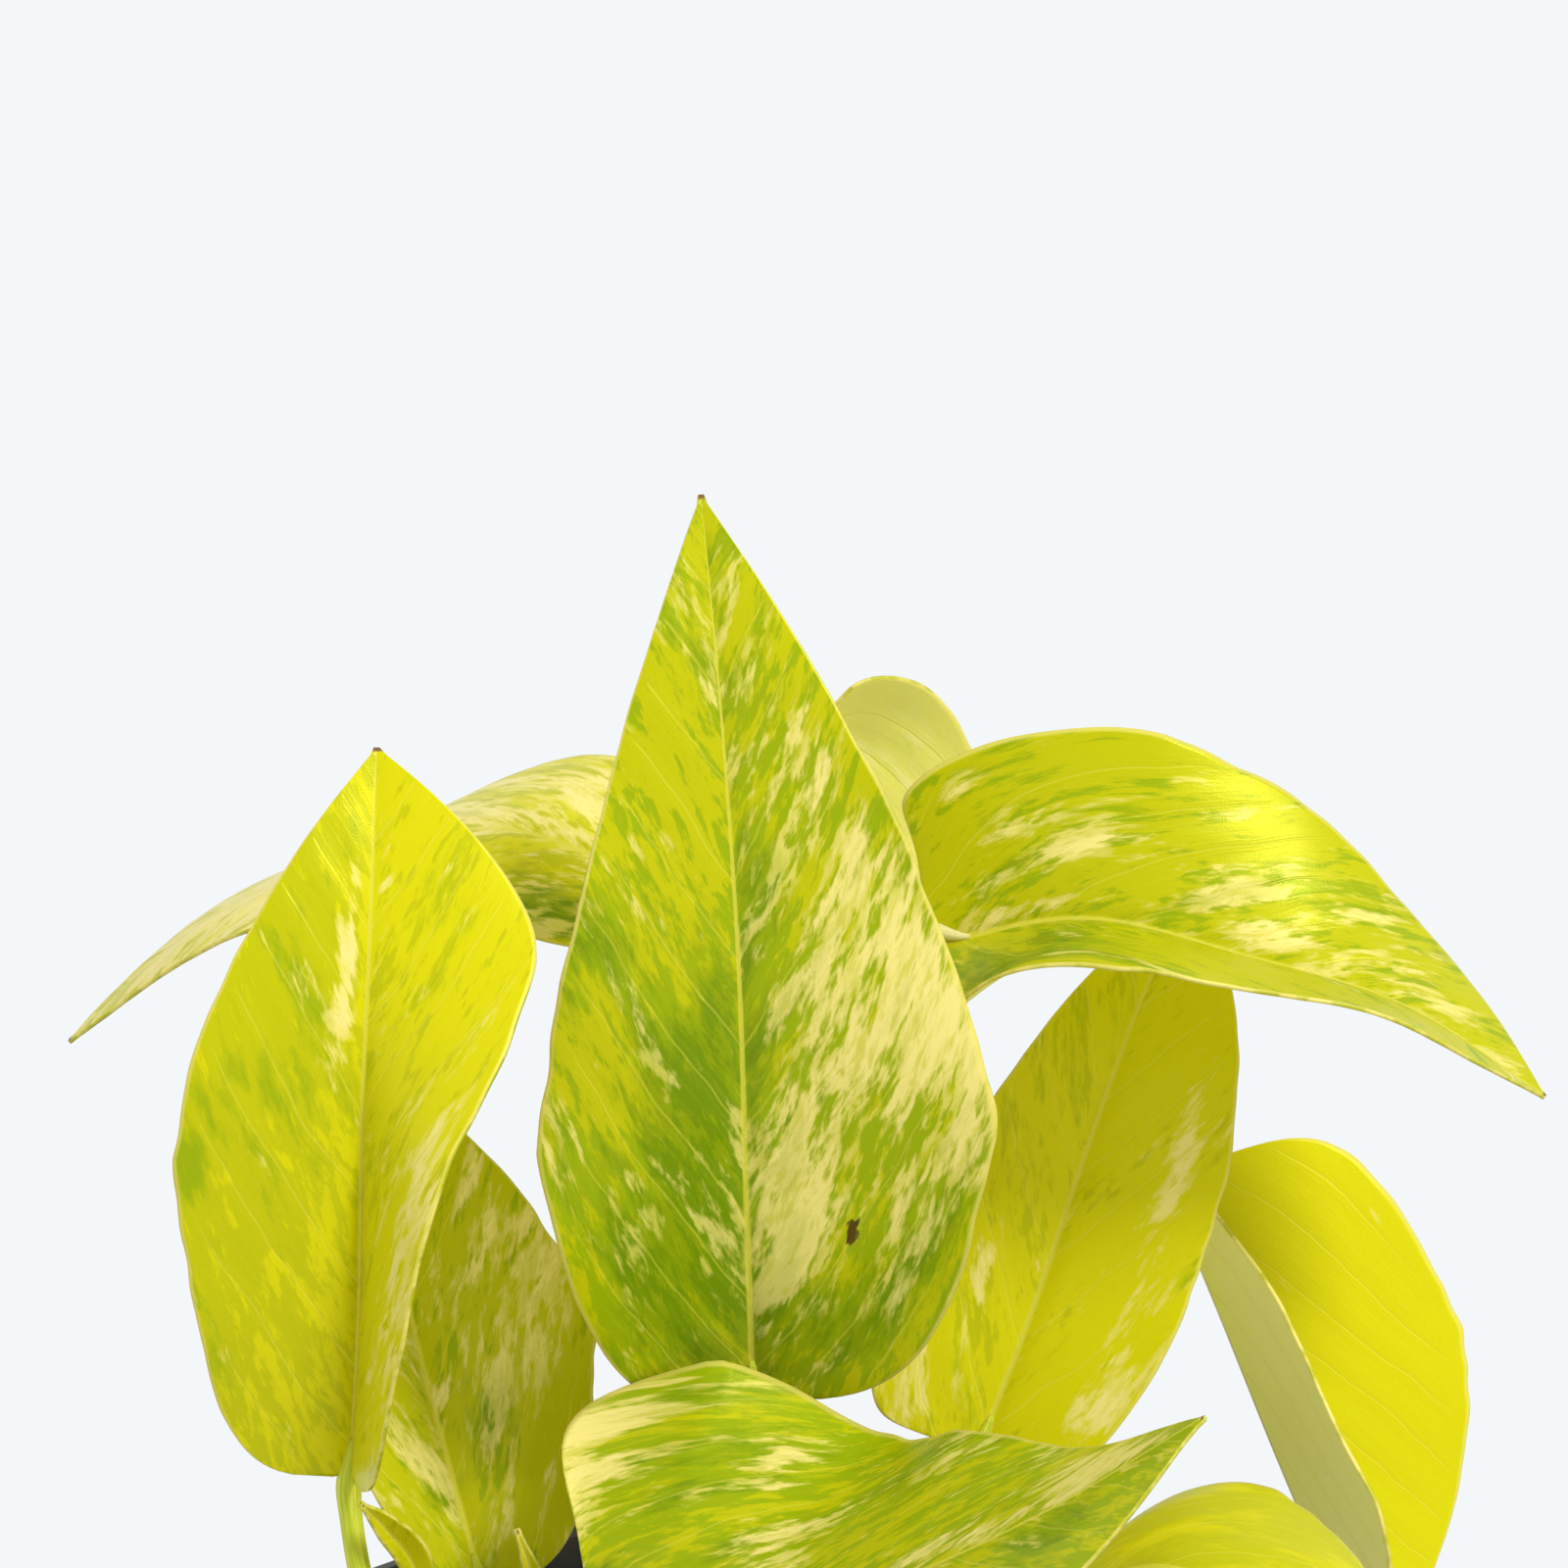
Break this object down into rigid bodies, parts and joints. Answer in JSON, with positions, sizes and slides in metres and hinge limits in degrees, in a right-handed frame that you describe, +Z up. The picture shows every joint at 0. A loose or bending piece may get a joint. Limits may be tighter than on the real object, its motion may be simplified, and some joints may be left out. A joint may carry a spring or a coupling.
{
  "type": "potted pothos plant",
  "caption": "Young variegated pothos with green, yellow and cream heart-shaped leaves in a plain charcoal nursery pot.",
  "frame": {"origin": "centre of the pot's underside, on the ground", "axes": "+Z up the pot's axis, -Y the plant's front with its fullest side, +X to the front view's right"},
  "size_m": [0.1837, 0.1804, 0.2419],
  "materials": {
    "pot_charcoal": "matte",
    "potting_soil": "matte",
    "vine_green": "satin",
    "stalk_green": "satin",
    "stalk_cream": "satin",
    "leaf_green": "satin",
    "leaf_lime": "satin",
    "leaf_yellow": "satin",
    "leaf_cream": "satin",
    "leaf_underside": "satin"
  },
  "bodies": {
    "root": {"pot": "pot_charcoal", "soil": "potting_soil", "vine_left": "vine_green", "vine_front": "vine_green", "vine_right": "vine_green", "vine_back": "vine_green", "stalk_centre": "stalk_green", "stalk_left": "stalk_green", "stalk_back_left": "stalk_green", "stalk_low_left": "stalk_green", "stalk_back_top": "stalk_cream", "stalk_right": "stalk_cream", "stalk_mid_right": "stalk_green", "stalk_far_right": "stalk_green", "stalk_front": "stalk_green", "stalk_low_right": "stalk_green", "stalk_rear_top": "stalk_green", "stalk_rear_right": "stalk_green", "stalk_rear_left": "stalk_green", "blade_centre": "leaf_green", "blade_left": "leaf_lime", "blade_back_left": "leaf_cream", "blade_low_left": "leaf_green", "blade_back_top": "leaf_underside", "blade_right": "leaf_green", "blade_mid_right": "leaf_lime", "blade_far_right": "leaf_yellow", "blade_front": "leaf_green", "blade_low_right": "leaf_yellow", "blade_rear_top": "leaf_lime", "blade_rear_right": "leaf_green", "blade_rear_left": "leaf_lime", "sheath_left": "leaf_lime", "sheath_front": "leaf_lime"}
  },
  "joints": []
}
